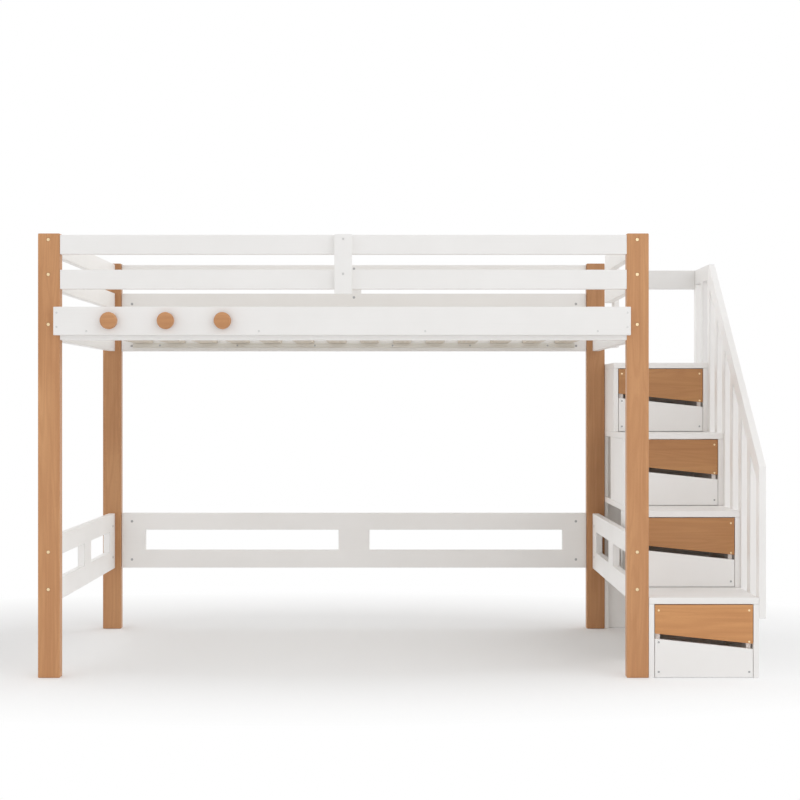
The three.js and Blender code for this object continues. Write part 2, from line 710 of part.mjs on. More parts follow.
// Two sides, a back and a floor, glued up, with a groove in each side for the runner
function drawerBox(name, depth) {
  const xs = [BOX_SIDE_GAP, BAY_WIDTH - BOX_SIDE_GAP];
  const ys = [FRONT_THICKNESS + HALF_GAP, depth - BOX_END_ROOM];
  const zs = [FRONT_BOTTOM_GAP + BOX_BOTTOM_RISE, BAY_HEIGHT - FRONT_TOP_GAP - BOX_TOP_DROP];
  const floorBottom = zs[0] + BOX_FLOOR_RISE;
  const walls = [
    block([xs[0], xs[0] + BOX_SIDE_THICKNESS], ys, zs),
    block([xs[1] - BOX_SIDE_THICKNESS, xs[1]], ys, zs),
    block(xs, [ys[1] - BOX_BACK_THICKNESS, ys[1]], zs),
    block(xs, ys, [floorBottom, floorBottom + BOX_FLOOR_THICKNESS]),
  ];
  const grooveYs = [RUNNER_FRONT_INSET - CUT_OVERRUN, ys[1] + CUT_OVERRUN];
  const grooveZs = [
    RUNNER_RISE - GROOVE_ROOM_BELOW,
    RUNNER_RISE + RUNNER_HEIGHT + FIT_GAP,
  ];
  const grooves = [
    block([xs[0] - CUT_OVERRUN, xs[0] + GROOVE_DEPTH], grooveYs, grooveZs),
    block([xs[1] - GROOVE_DEPTH, xs[1] + CUT_OVERRUN], grooveYs, grooveZs),
  ];
  return piece(`${name}_box`, white, join(walls, grooves));
}

function drawers() {
  return Array.from({ length: STEP_COUNT }, (_, i) => {
    const level = i + 1;
    const name = `drawer_${level}`;
    const drawer = new THREE.Group();
    drawer.add(...drawerFronts(name), drawerBox(name, bayDepth(level)));
    const left = STAIR_LEFT + STAIR_SIDE_THICKNESS;
    drawer.position.set(left, stepFront(level), bayBottom(level));
    return drawer;
  });
}

const bed = new THREE.Group();
bed.add(...posts(), ...bedRails(), ...longGuards(), ...endGuards(), ...lowerRails());
bed.add(coverBoard(), ...pegs(), ...ledgers(), slatRoll());

const staircase = new THREE.Group();
staircase.add(...treads(), ...stairSides(), ...stairBack(), ...railing(), ...drawers());

const loftBed = new THREE.Group();
loftBed.add(bed, staircase);
const frontmost = -COVER_THICKNESS - PEG_LENGTH;
const rearmost = BED_WIDTH + BRACE_THICKNESS;
loftBed.position.set(
  -(RAILING_OUTER_X - BED_END) / 2,
  -(frontmost + rearmost) / 2,
  -HALF_GAP,
);

const part = new THREE.Group();
part.add(loftBed);
export default part;
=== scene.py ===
import math
from itertools import product

import bmesh
import bpy
from bpy.props import FloatProperty, FloatVectorProperty, IntProperty, PointerProperty
from bpy.types import Operator, Panel, PropertyGroup
from mathutils import Matrix, Vector


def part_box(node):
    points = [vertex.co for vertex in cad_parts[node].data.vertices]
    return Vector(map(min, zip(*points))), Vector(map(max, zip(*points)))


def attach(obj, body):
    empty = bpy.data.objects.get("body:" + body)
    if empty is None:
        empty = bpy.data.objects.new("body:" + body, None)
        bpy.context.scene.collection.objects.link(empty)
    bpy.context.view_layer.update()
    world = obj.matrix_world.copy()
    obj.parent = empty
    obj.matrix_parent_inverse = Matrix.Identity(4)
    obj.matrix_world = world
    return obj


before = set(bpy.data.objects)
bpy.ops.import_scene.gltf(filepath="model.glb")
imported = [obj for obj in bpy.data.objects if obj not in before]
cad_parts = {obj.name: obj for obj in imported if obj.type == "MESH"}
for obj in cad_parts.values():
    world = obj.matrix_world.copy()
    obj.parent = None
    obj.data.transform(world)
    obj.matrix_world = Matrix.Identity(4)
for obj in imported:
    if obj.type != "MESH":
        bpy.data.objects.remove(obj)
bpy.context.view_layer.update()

bl_info = {
    "name": "Loft Bed Finish",
    "version": (1, 0, 0),
    "blender": (4, 5, 0),
    "location": "View3D > Sidebar > Loft Bed",
    "description": "Varnish, paint, fasteners, floor, light and camera for a loft bed with drawers",
    "category": "Object",
}

# The bed stands along X with its front towards -Y, and the staircase is at its right end.
# Lengths are in metres.

X, Y, Z = range(3)
ROWS = ("front", "back")
SIDES = ("left", "right")
GUARDS = ("upper", "lower")
LEVELS = range(1, 1 + sum(name.startswith("tread_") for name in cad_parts))
OUTWARD = {
    "left": Vector((-1, 0, 0)),
    "right": Vector((1, 0, 0)),
    "front": Vector((0, -1, 0)),
    "back": Vector((0, 1, 0)),
}

# Every board is cut this much small all round, and that leaves a hair between neighbours
HALF_GAP = 0.00015


# Kinds of settings

def setting(kind, **limits):
    """A kind of setting, which then takes a name, a description and a default"""
    def made(name, description, default, **more):
        return kind(name=name, description=description, default=default, **limits, **more)
    return made


def Group(kind, name, description):
    return PointerProperty(type=kind, name=name, description=description)


Colour = setting(FloatVectorProperty, subtype="COLOR", min=0, max=1)
Tones = setting(FloatVectorProperty, min=0, max=2)
Length = setting(FloatProperty, unit="LENGTH", min=0.0001)
Depth = setting(FloatProperty, unit="LENGTH", min=0)
Distance = setting(FloatProperty, unit="LENGTH")
Point = setting(FloatVectorProperty, unit="LENGTH", subtype="XYZ")
Angle = setting(FloatProperty, subtype="ANGLE", min=0, max=math.pi)
Share = setting(FloatProperty, subtype="FACTOR", min=0, max=1)
Amount = setting(FloatProperty, min=0)
Count = setting(IntProperty, min=1)


# Settings

class WoodFinish(PropertyGroup):
    """The varnished wood of the posts, the pegs and the upper drawer fronts"""

    light: Colour("Light", "The lightest wood between the growth rings", (0.665, 0.35, 0.16))
    middle: Colour("Middle", "Most of the wood", (0.59, 0.293, 0.13))
    dark: Colour("Dark", "The growth rings", (0.51, 0.238, 0.1))
    pore: Colour("Pore", "The fine pores", (0.36, 0.155, 0.062))
    ring_spacing: Length("Ring Spacing", "Distance between two growth rings", 0.011)
    ring_length: Length("Ring Length", "Length of a ring along the grain", 0.42)
    arch_width: Length("Arch Width", "Width of a set of arches in the grain", 0.06)
    arch_length: Length("Arch Length", "Length of a set of arches in the grain", 0.75)
    arch_count: Amount("Arches", "Number of arches from a set's middle to its edge", 14)
    fibre_spacing: Length("Fibre Spacing", "Distance between two fibre streaks", 0.0011)
    fibre_length: Length("Fibre Length", "Length of a fibre streak", 0.06)
    pore_spacing: Length("Pore Spacing", "Distance between two pores", 0.0013)
    pore_length: Length("Pore Length", "Length of a pore along the grain", 0.009)
    relief: Depth("Relief", "Depth of the grain under the varnish", 0.00012)
    gloss: Share("Roughness", "Roughness of the varnish", 0.46)
    # The back posts are darker as painted shade, where the platform and the staircase shade them
    post_shade_tones: Tones(
        "Post Tones", "How light the front left, front right, back left and back right posts are",
        (1.0, 1.0, 0.86, 0.83), size=4)
    drawer_hue: Tones(
        "Drawer Hue", "The upper drawer fronts' colour against the posts'", (1.0, 0.96, 0.84))
    # The three upper drawer fronts are darker as painted shade under the treads and the railing,
    # and the lowest is lighter as painted light
    drawer_shade_tones: Tones(
        "Drawer Tones", "How light each drawer's upper front is, from below",
        (1.08, 0.82, 0.8, 0.81), size=4)


class PaintFinish(PropertyGroup):
    """The white paint of the boards"""

    colour: Colour("Colour", "The paint", (0.906, 0.894, 0.88))
    shade: Colour("Shade", "Colour where the coat is a little thinner", (0.862, 0.847, 0.829))
    cloud_size: Length("Cloud Size", "Width of the faint clouds in the coat", 0.16)
    peel_size: Length("Peel Size", "Width of a dimple in the sprayed surface", 0.0022)
    grain_spacing: Length("Grain Spacing", "Distance between two faint grain lines", 0.0035)
    grain_length: Length("Grain Length", "Length of such a grain line", 0.22)
    relief: Depth("Relief", "Depth of the dimples and grain lines", 0.00005)
    # The drawer boxes get a lighter paint as painted light in the dim insides of the drawers
    box_light_tone: Amount("Box Tone", "How light the drawer boxes are", 1.06)
    # The platform's rails get a darker paint as painted shade at the back of the bed
    rear_shade_tone: Amount("Rear Tone", "How light the platform's rails are", 0.91)
    gloss: Share("Roughness", "Roughness of the paint", 0.42)


class SlatFinish(PropertyGroup):
    """The raw slats, the straps that hold them and the ledgers that they lie on"""

    light: Colour("Light", "The early wood", (0.722, 0.667, 0.59))
    dark: Colour("Dark", "The late wood", (0.612, 0.532, 0.43))
    ledger_light: Colour("Light Ledger", "The ledgers' early wood", (0.755, 0.735, 0.685))
    ledger_dark: Colour("Dark Ledger", "The ledgers' late wood", (0.66, 0.635, 0.575))
    knot: Colour("Knot", "The knots", (0.33, 0.165, 0.075))
    ring_spacing: Length("Ring Spacing", "Distance between two growth rings", 0.008)
    ring_length: Length("Ring Length", "Length of a ring along the grain", 0.3)
    knot_spacing: Length("Knot Spacing", "Distance between two knots", 0.19)
    strap: Colour("Strap", "The straps", (0.78, 0.77, 0.74))
    rib_spacing: Length("Rib Spacing", "Distance between two ribs in a strap", 0.0021)
    strap_width: Length("Strap Width", "Width of a strap", 0.03)
    strap_from_slat_end: Length(
        "Strap From Slat End", "Distance of a strap from the slats' ends", 0.2)
    strap_thickness: Length("Strap Thickness", "Height of a strap over the slats", 0.002)
    strap_gloss: Share("Strap Roughness", "Roughness of the straps", 0.9)
    relief: Depth("Relief", "Depth of the sawn grain", 0.0002)
    gloss: Share("Roughness", "Roughness of the raw wood", 0.72)


class MetalFinish(PropertyGroup):
    """The brass plated and the zinc plated fasteners"""

    brass: Colour("Brass", "The brass plating", (0.96, 0.78, 0.5))
    brass_dark: Colour("Dark Brass", "Brass where it is dull", (0.85, 0.64, 0.37))
    # Zinc is darker than bright zinc partly for a duller plating and partly as painted shade: it
    # goes on the nuts, the ledger screws and the drawers' lower screws, which sit in shade
    bright_zinc: Colour("Bright Zinc", "The screws of the painted boards", (0.74, 0.735, 0.725))
    bright_zinc_dark: Colour(
        "Dull Bright Zinc", "Bright zinc where it is dull", (0.62, 0.615, 0.605))
    zinc: Colour("Zinc", "The nuts and the other screws", (0.47, 0.475, 0.48))
    zinc_dark: Colour("Dark Zinc", "Zinc where it is dull", (0.32, 0.325, 0.33))
    spot_size: Length("Spot Size", "Width of the dull spots", 0.0016)
    gloss: Share("Roughness", "Roughness of the plating", 0.3)


class EasedEdges(PropertyGroup):
    """How far the edges of the pieces are rounded over"""

    post: Length("Post", "Rounding of the posts' edges", 0.003)
    board: Length("Board", "Rounding of the painted boards' edges", 0.002)
    panel: Length("Panel", "Rounding of thin panels, drawer fronts and boxes", 0.0008)
    peg: Length("Peg", "Rounding of the pegs' rims", 0.0012)
    slat: Length("Slat", "Rounding of the slats' edges", 0.0008)
    segments: Count("Segments", "Number of strips in a rounded edge", 3)
    shortest: Depth("Shortest Edge", "Edges shorter than this stay as they are", 0.01)
    least_turn: Angle("Angle", "Edges that turn less than this stay as they are", math.radians(30))
    flat_within: Angle("Flat Within", "Faces that turn less become one flat face", math.radians(3))
    round_within: Angle("Round Within", "The same for a turned piece", math.radians(0.5))


class FastenerSizes(PropertyGroup):
    """The heads of the bolts, nuts and screws"""

    bolt_diameter: Length("Bolt Head", "Diameter of a bolt's head", 0.0112)
    bolt_recess_depth: Length("Bolt Recess", "Depth of the recess for a bolt's head", 0.003)
    bolt_sink: Depth("Bolt Sink", "How far a bolt's head lies below the face", 0.0006)
    bolt_socket: Length("Bolt Socket", "Width of a bolt's hexagon socket, over its corners", 0.0058)
    nut_diameter: Length("Barrel Nut", "Diameter of a barrel nut", 0.01)
    nut_slot_width: Length("Nut Slot", "Width of the slot in a barrel nut", 0.0014)
    screw_diameter: Length("Screw Head", "Diameter of a screw's head", 0.0072)
    screw_recess_depth: Length("Screw Recess", "Depth of the recess for some screws' heads", 0.002)
    screw_sink: Depth("Screw Sink", "How far such a head lies below the face", 0.0004)
    screw_cross: Length("Screw Cross", "Width of the cross in a screw's head", 0.004)
    proud: Length("Proud Height", "How far the other heads stand out", 0.0007)
    rim: Length("Rim", "Chamfer round a head", 0.0004)


class FastenerPlaces(PropertyGroup):
    """Where the bolts, nuts and screws are, measured from the boards that they hold"""

    post_bolt_shift: Distance(
        "Post Bolt Shift", "How far right of a post's middle its bolts are", -0.002)
    end_rail_bolt_rise: Distance(
        "End Rail Bolt Rise", "Height over an end bed rail's middle", 0.003)
    guard_bolt_rise: Distance("Guard Bolt Rise", "Height over an end guard's middle", 0.0165)
    guard_bolt_drop: Distance("Guard Bolt Drop", "Depth under a long guard's middle", 0.01)
    side_bolt_inset: Distance("Side Bolt Inset", "Distance from the post's face", 0.013)
    side_rail_spacing: Distance("Side Rail Spacing", "Distance between its two bolts", 0.055)
    lower_end_spacing: Distance("Lower End Spacing", "Distance between its two bolts", 0.124)
    lower_back_spacing: Distance("Lower Back Spacing", "Distance between its two bolts", 0.154)
    nut_from_rail_end: Distance("Nut From Rail End", "Distance from the rail's end", 0.042)
    cover_screw_rise: Distance("Cover Screw Rise", "Height of the lower screws", 0.013)
    cover_screw_span: Distance("Cover Screw Span", "Distance between the outer screws", 1.686)
    cover_screw_inner_span: Distance(
        "Cover Screw Inner Span", "Distance between the inner screws", 0.548)
    cover_end_inset: Distance("Cover End Inset", "Distance from the board's end", 0.011)
    cover_end_spacing: Distance("Cover End Spacing", "Distance between an end's screws", 0.047)
    cover_end_rise: Distance("Cover End Rise", "Height over the board's middle", 0.0036)
    ledger_screw_pitch: Distance("Ledger Screw Pitch", "Distance between two screws", 0.312)
    ledger_screw_count: Count("Ledger Screws", "Number of screws in a ledger", 6)
    railing_spacing: Distance("Railing Screw Spacing", "Distance between a foot's screws", 0.036)
    railing_lap: Distance("Railing Lap", "Height of an upright beside its tread", 0.07)
    drawer_screw_inset: Distance("Drawer Screw Inset", "Distance from the side edges", 0.0125)
    drawer_screw_drop: Distance("Drawer Screw Drop", "Distance from the other edges", 0.0185)
    over_slot: Distance("Over Slot", "Height of a screw over the finger slot", 0.007)
    under_slot: Distance("Under Slot", "Depth of a screw under the finger slot", 0.0115)


class StudioSettings(PropertyGroup):
    """The floor, the light and the camera"""

    camera_distance: Distance("Camera Distance", "Distance from the front posts", 4.76)
    camera_height: Distance("Camera Height", "Height of the camera over the floor", 0.914)
    lens: FloatProperty(
        name="Lens", description="Focal length for a sensor 36 mm wide",
        unit="CAMERA", min=1, default=64.69)
    shift: FloatProperty(
        name="Shift", description="How far the view's middle lies from the picture's, as a share",
        default=0.0025)
    from_above: Amount("From Above", "Soft light from straight above", 0.42)
    from_right: Amount("From Right", "Soft light from the right", 1.5)
    from_left: Amount("From Left", "Soft light from the left", 1.4)
    from_front: Amount("From Front", "Soft light from the front", 0.2)
    bounces: Count("Bounces", "Number of times that light is passed on", 24)
    lamp_size: Length("Lamp Size", "Length of one side of the square lamp", 3.0)
    lamp_aim: Point("Lamp Aim", "Place that the lamp shines at", (0, 0, 0.7))
    lamp_power: Amount("Lamp Power", "Power of the lamp, in watts", 18)
    lamp_place: Point("Lamp Place", "Place of the lamp, high at the front right", (2.5, -5.5, 3.0))
    floor_size: Distance("Floor Size", "Length of one side of the floor", 80)
    floor_drop: Distance("Floor Drop", "Hair between the floor and the feet", 0.0002)
    floor_grey: Share("Floor Grey", "How much light the floor gives back to the bed", 0.88)
    floor_seen: Share("Floor Seen", "How light the floor looks under and round the bed", 0.9)
    fade_centre: Point("Fade Centre", "Middle of the floor's shaded part", (-0.35, 0.2, 0))
    fade_start: Distance("Fade Start", "How far in front the floor starts to turn white", 0.66)
    fade_end: Distance("Fade End", "How far in front the floor is white", 1.45)
    fade_stretch: Amount("Fade Stretch", "How much further it reaches to the sides", 2.0)


class LoftBedSettings(PropertyGroup):
    """All the settings of the loft bed"""

    wood: Group(WoodFinish, "Wood", "Varnished wood")
    paint: Group(PaintFinish, "Paint", "White paint")
    slats: Group(SlatFinish, "Slats", "Raw slats and straps")
    metal: Group(MetalFinish, "Metal", "Plated fasteners")
    edges: Group(EasedEdges, "Edges", "Eased edges")
    heads: Group(FastenerSizes, "Fasteners", "Fastener heads")
    places: Group(FastenerPlaces, "Places", "Fastener places")
    studio: Group(StudioSettings, "Studio", "Floor, light, camera")


# Places in the frame

def nodes_named(*starts):
    """The names of the CAD nodes that start with one of these, in order"""
    found = sorted(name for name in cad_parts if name.startswith(starts))
    if not found:
        raise RuntimeError(f"the packed bed has no piece named {', '.join(starts)}")
    return found


def board_box(name):
    """The lowest and highest corners of a board, with the hair that it is cut small added"""
    low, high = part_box(name)
    hair = Vector((HALF_GAP, HALF_GAP, HALF_GAP))
    return low - hair, high + hair


def middle(name):
    low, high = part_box(name)
    return (low + high) / 2


def pair(centre, spacing):
    """Two places, one on each side of a centre"""
    return centre - spacing / 2, centre + spacing / 2


# Nodes

def fill(tree, node, inputs):
    """Gives a node's inputs their sockets, numbers and colours"""
    for name, value in inputs.items():
        socket = node.inputs[name]
        if isinstance(value, bpy.types.NodeSocket):
            tree.links.new(value, socket)
        elif socket.type == "RGBA":
            socket.default_value = (*value, 1.0)
        else:
            socket.default_value = value


def add_node(tree, kind, inputs, **modes):
    """Adds a node, sets its modes and gives it its inputs"""
    node = tree.nodes.new(kind)
    for name, mode in modes.items():
        setattr(node, name, mode)
    fill(tree, node, inputs)
    return node


def scaled_place(tree, scale, shift=(0, 0, 0)):
    """Object coordinates, multiplied by a scale for each axis and then shifted"""
    place = tree.nodes.new("ShaderNodeTexCoord").outputs["Object"]
    inputs = {"Vector": place, "Scale": scale, "Location": shift}
    return add_node(tree, "ShaderNodeMapping", inputs).outputs["Vector"]


def along(axis, across, length):
    """The scale of a pattern that is `across` wide and drawn out to `length` along one axis"""
    scale = [1 / across] * 3
    scale[axis] = 1 / length
    return scale


def noise(tree, scale, detail=2.0, roughness=0.5, distortion=0.0):
    """A noise from 0 to 1 that repeats about once in each scaled unit"""
    return add_node(tree, "ShaderNodeTexNoise", {
        "Vector": scaled_place(tree, scale), "Scale": 1.0,
        "Detail": detail, "Roughness": roughness, "Distortion": distortion}).outputs["Fac"]


def remap(tree, value, low, high, new_low=0.0, new_high=1.0):
    """A value's stretch from low to high, moved to another stretch and held there"""
    return add_node(tree, "ShaderNodeMapRange", {
        "Value": value, "From Min": low, "From Max": high,
        "To Min": new_low, "To Max": new_high}).outputs["Result"]


def combine(tree, operation, first, second=0):
    """One or two values in a Math node. Either may be a plain number."""
    inputs = {0: first, 1: second}
    return add_node(tree, "ShaderNodeMath", inputs, operation=operation).outputs["Value"]


def colour_mix(tree, share, first, second):
    """A colour between two others. Either may be a socket."""
    node = tree.nodes.new("ShaderNodeMix")
    node.data_type = "RGBA"
    colours = [i for i, socket in enumerate(node.inputs) if socket.type == "RGBA"]
    fill(tree, node, {"Factor": share, **dict(zip(colours, (first, second)))})
    return next(socket for socket in node.outputs if socket.type == "RGBA")


def lay_on(tree, under, colour, pattern, start, full, share=1.0):
    """Lays a colour on another where a pattern is over start, up to a share where it is full"""
    return colour_mix(tree, remap(tree, pattern, start, full, 0.0, share), under, colour)


def bump(tree, surface, height, depth, strength):
    inputs = {"Height": height, "Distance": depth, "Strength": strength}
    fill(tree, surface, {"Normal": add_node(tree, "ShaderNodeBump", inputs).outputs["Normal"]})


# Materials

# Nearly all of a noise lies between these two
NOISE_LOW, NOISE_HIGH = 0.3, 0.7

# A cloud in the varnished wood is this many growth rings wide
CLOUD_RINGS = 7

# The fibre streaks in sawn wood, across the grain and along it
SAWN_FIBRE_SPACING = 0.0012
SAWN_FIBRE_LENGTH = 0.05

# The distance along the bed in which the slats' tone changes, and one in which it hardly does
SLAT_TONE_SPACING = 0.13
FAR_APART = 100

# Painted shade in the hollows of the straps' weave: their colour against the ribs
HOLLOW_SHADE = 0.8

# How far down a strap's colour reaches, against the strap's thickness
STRAP_REACH = 1.3

# Bands of the straps' wave texture in a rib's width
RIB_BANDS = 0.3


def new_material(name):
    material = bpy.data.materials.new(name)
    material.use_nodes = True
    return material, material.node_tree, material.node_tree.nodes["Principled BSDF"]


def toned(colour, tone):
    """A colour with its red, green and blue each multiplied"""
    return [part * share for part, share in zip(colour, tone)]


def varied(tree, gloss, pattern, less, more):
    """A roughness that a pattern takes from a little less than its setting to a little more"""
    return remap(tree, pattern, NOISE_LOW, NOISE_HIGH, gloss - less, gloss + more)


def varnished_wood(axis, look, board="", tone=(1, 1, 1)):
    """Stained wood under a thin satin varnish, with its grain along an axis"""
    name = f"varnished_wood_{'xyz'[axis]}{board}"
    if name in bpy.data.materials:
        return bpy.data.materials[name]
    material, tree, surface = new_material(name)
    light, middle_tone, dark, pore = [
        toned(colour, tone) for colour in (look.light, look.middle, look.dark, look.pore)]
    rings = noise(
        tree, along(axis, look.ring_spacing, look.ring_length),
        detail=3, roughness=0.55, distortion=0.35)
    hills = noise(tree, along(axis, look.arch_width, look.arch_length), detail=1)
    arches = combine(
        tree, "SINE", combine(tree, "MULTIPLY", hills, 2 * math.pi * look.arch_count))
    clouds = noise(tree, along(axis, CLOUD_RINGS * look.ring_spacing, look.ring_length))
    fibres = noise(tree, along(axis, look.fibre_spacing, look.fibre_length))
    pores = noise(tree, along(axis, look.pore_spacing, look.pore_length), detail=1)
    pore_share = remap(tree, pores, low=0.62, high=0.78, new_high=0.26)

    wood = lay_on(tree, middle_tone, dark, rings, start=0.36, full=0.66)
    wood = lay_on(tree, wood, light, clouds, start=0.42, full=0.72, share=0.75)
    wood = lay_on(tree, wood, dark, arches, start=-0.2, full=1.0, share=0.42)
    wood = lay_on(tree, wood, dark, fibres, start=0.35, full=0.75, share=0.28)
    fill(tree, surface, {
        "Base Color": colour_mix(tree, pore_share, wood, pore),
        "Roughness": varied(tree, look.gloss, fibres, less=0.05, more=0.07),
        "Coat Weight": 0.12, "Coat Roughness": 0.30, "Specular IOR Level": 0.40})
    relief = combine(tree, "SUBTRACT", fibres, pore_share)
    bump(tree, surface, relief, look.relief, strength=0.5)
    return material


def white_paint(look, axis=None, board="", tone=1.0):
    """Sprayed satin paint. On solid wood the grain under it just shows along an axis."""
    name = f"white_paint_{'plain' if axis is None else 'xyz'[axis]}{board}"
    if name in bpy.data.materials:
        return bpy.data.materials[name]
    material, tree, surface = new_material(name)
    colour, shade = [toned(paint, [tone] * 3) for paint in (look.colour, look.shade)]
    clouds = noise(tree, [1 / look.cloud_size] * 3, detail=3)
    relief = noise(tree, [1 / look.peel_size] * 3)
    coat = lay_on(tree, colour, shade, clouds, start=0.35, full=0.75, share=0.55)
    if axis is not None:
        grain = noise(tree, along(axis, look.grain_spacing, look.grain_length), roughness=0.6)
        coat = lay_on(tree, coat, shade, grain, start=0.52, full=0.78, share=0.30)
        relief = combine(tree, "ADD", relief, grain)
    fill(tree, surface, {
        "Base Color": coat,
        "Roughness": varied(tree, look.gloss, clouds, less=0.05, more=0.06),
        "Specular IOR Level": 0.40})
    bump(tree, surface, relief, look.relief, strength=0.4)
    return material


def sawn_wood(tree, axis, look, light, dark):
    """The colour of sawn pale wood with its grain along an axis, and its fibres"""
    rings = noise(
        tree, along(axis, look.ring_spacing, look.ring_length),
        detail=3, roughness=0.6, distortion=0.5)
    fibres = noise(tree, along(axis, SAWN_FIBRE_SPACING, SAWN_FIBRE_LENGTH))
    wood = lay_on(tree, light, dark, rings, start=0.38, full=0.68)
    wood = lay_on(tree, wood, dark, fibres, start=0.4, full=0.8, share=0.25)
    return wood, fibres


def raw_ledgers(look):
    """The same pale wood as the slats', a little greyer and without knots"""
    material, tree, surface = new_material("raw_ledgers")
    wood, fibres = sawn_wood(tree, X, look, look.ledger_light, look.ledger_dark)
    fill(tree, surface, {
        "Base Color": wood, "Roughness": look.gloss, "Specular IOR Level": 0.30})
    bump(tree, surface, fibres, look.relief, strength=0.6)
    return material


def raw_slats(look):
    """Sawn pale wood with knots, and woven straps over it"""
    material, tree, surface = new_material("raw_slats")
    low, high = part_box("slat_roll")
    wood, fibres = sawn_wood(tree, Y, look, look.light, look.dark)
    # Each slat has a tone of its own, because this noise hardly changes along Y and Z
    slat_tones = noise(tree, along(X, FAR_APART, SLAT_TONE_SPACING), detail=0)
    wood = lay_on(
        tree, wood, look.dark, slat_tones, start=NOISE_LOW, full=NOISE_HIGH, share=0.35)
    # Only the highest hills of this noise are knots, so the hills are closer than the knots
    knots = noise(
        tree, along(Y, across=look.knot_spacing / 4, length=look.knot_spacing / 3), detail=1)
    wood = lay_on(tree, wood, look.knot, knots, start=0.74, full=0.80, share=0.8)

    place = add_node(tree, "ShaderNodeSeparateXYZ", {"Vector": scaled_place(tree, (1, 1, 1))})
    centre = (low.y + high.y) / 2
    strap_y = high.y - look.strap_from_slat_end - centre
    from_middle = combine(tree, "ABSOLUTE", combine(tree, "SUBTRACT", place.outputs["Y"], centre))
    from_strap = combine(tree, "ABSOLUTE", combine(tree, "SUBTRACT", from_middle, strap_y))
    near = combine(tree, "LESS_THAN", from_strap, look.strap_width / 2 + HALF_GAP)
    lowest = high.z - STRAP_REACH * look.strap_thickness
    above = combine(tree, "GREATER_THAN", place.outputs["Z"], lowest)
    on_strap = combine(tree, "MULTIPLY", near, above)

    rib_place = scaled_place(tree, [1 / look.rib_spacing] * 3)
    ribs = add_node(
        tree, "ShaderNodeTexWave", {"Vector": rib_place, "Scale": RIB_BANDS},
        bands_direction="DIAGONAL").outputs["Fac"]
    # The weave's hollows are darker as painted shade
    hollow = toned(look.strap, [HOLLOW_SHADE] * 3)
    weave = lay_on(tree, hollow, look.strap, ribs, start=0, full=1)
    fill(tree, surface, {
        "Base Color": colour_mix(tree, on_strap, wood, weave),
        "Roughness": remap(tree, on_strap, 0, 1, look.gloss, look.strap_gloss),
        "Specular IOR Level": 0.30})
    relief = combine(tree, "ADD", fibres, combine(tree, "MULTIPLY", ribs, on_strap))
    bump(tree, surface, relief, look.relief, strength=0.6)
    return material


def plated_metal(kind, look):
    """Steel plated with brass, zinc or bright zinc, with faint dull spots"""
    name = f"{kind}_plating"
    if name in bpy.data.materials:
        return bpy.data.materials[name]
    material, tree, surface = new_material(name)
    colour, dull = getattr(look, kind), getattr(look, f"{kind}_dark")
    spots = noise(tree, [1 / look.spot_size] * 3, detail=3)
    fill(tree, surface, {
        "Base Color": lay_on(tree, colour, dull, spots, start=0.45, full=0.75, share=0.7),
        "Roughness": varied(tree, look.gloss, spots, less=0.06, more=0.10),
        "Metallic": 1.0})
    return material


# Finishing the CAD nodes

# Corners of a CAD mesh that are closer than this are one
WELD_WITHIN = 1e-5


def edge_marks(edges):
    """A node group that gives the long outer corners their weight and the other corners a crease"""
    name = "long_outer_corners"
    if name in bpy.data.node_groups:
        return bpy.data.node_groups[name]
    tree = bpy.data.node_groups.new(name, "GeometryNodeTree")
    for way in ("INPUT", "OUTPUT"):
        tree.interface.new_socket("Geometry", in_out=way, socket_type="NodeSocketGeometry")
    start = tree.nodes.new("NodeGroupInput")
    end = tree.nodes.new("NodeGroupOutput")
    turn = tree.nodes.new("GeometryNodeInputMeshEdgeAngle")
    ends = tree.nodes.new("GeometryNodeInputMeshEdgeVertices")
    ends_apart = {0: ends.outputs["Position 1"], 1: ends.outputs["Position 2"]}
    span = add_node(tree, "ShaderNodeVectorMath", ends_apart, operation="DISTANCE")

    def above(value, limit):
        return add_node(
            tree, "FunctionNodeCompare", {0: value, 1: limit},
            data_type="FLOAT", operation="GREATER_THAN").outputs["Result"]

    def both(first, second, operation):
        return add_node(
            tree, "FunctionNodeBooleanMath", {0: first, 1: second},
            operation=operation).outputs["Boolean"]

    outer = above(turn.outputs["Signed Angle"], edges.least_turn)
    corner = above(turn.outputs["Unsigned Angle"], edges.least_turn)
    eased = both(outer, above(span.outputs["Value"], edges.shortest), "AND")
    weights = {"Geometry": start.outputs[0], "Name": "bevel_weight_edge", "Value": eased}
    weight = add_node(
        tree, "GeometryNodeStoreNamedAttribute", weights, data_type="FLOAT", domain="EDGE")
    creases = {
        "Mesh": weight.outputs["Geometry"], "Edge Sharpness": both(corner, eased, "NIMPLY")}
    crease = add_node(tree, "GeometryNodeSetMeshNormal", creases, mode="SHARPNESS")
    fill(tree, end, {0: crease.outputs["Mesh"]})
    return tree


def ease_edges(piece, easing, edges, flat_within):
    """Merges a node's triangles into flat faces and rounds its long outer corners"""
    weld = piece.modifiers.new("Weld", "WELD")
    weld.merge_threshold = WELD_WITHIN
    flat = piece.modifiers.new("Flat Faces", "DECIMATE")
    flat.decimate_type = "DISSOLVE"
    flat.angle_limit = flat_within
    marks = piece.modifiers.new("Edge Marks", "NODES")
    marks.node_group = edge_marks(edges)
    ease = piece.modifiers.new("Eased Edges", "BEVEL")
    ease.limit_method = "WEIGHT"
    ease.width = easing
    ease.segments = edges.segments
    ease.use_clamp_overlap = False
    ease.harden_normals = True


def finish_nodes(names, material, corner, edges, turned=False):
    """Gives nodes their material and the rounding of one kind of corner"""
    for name in names:
        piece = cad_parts[name]
        for slot in piece.material_slots:
            slot.material = material
        flat_within = edges.round_within if turned else edges.flat_within
        ease_edges(piece, getattr(edges, corner), edges, flat_within)


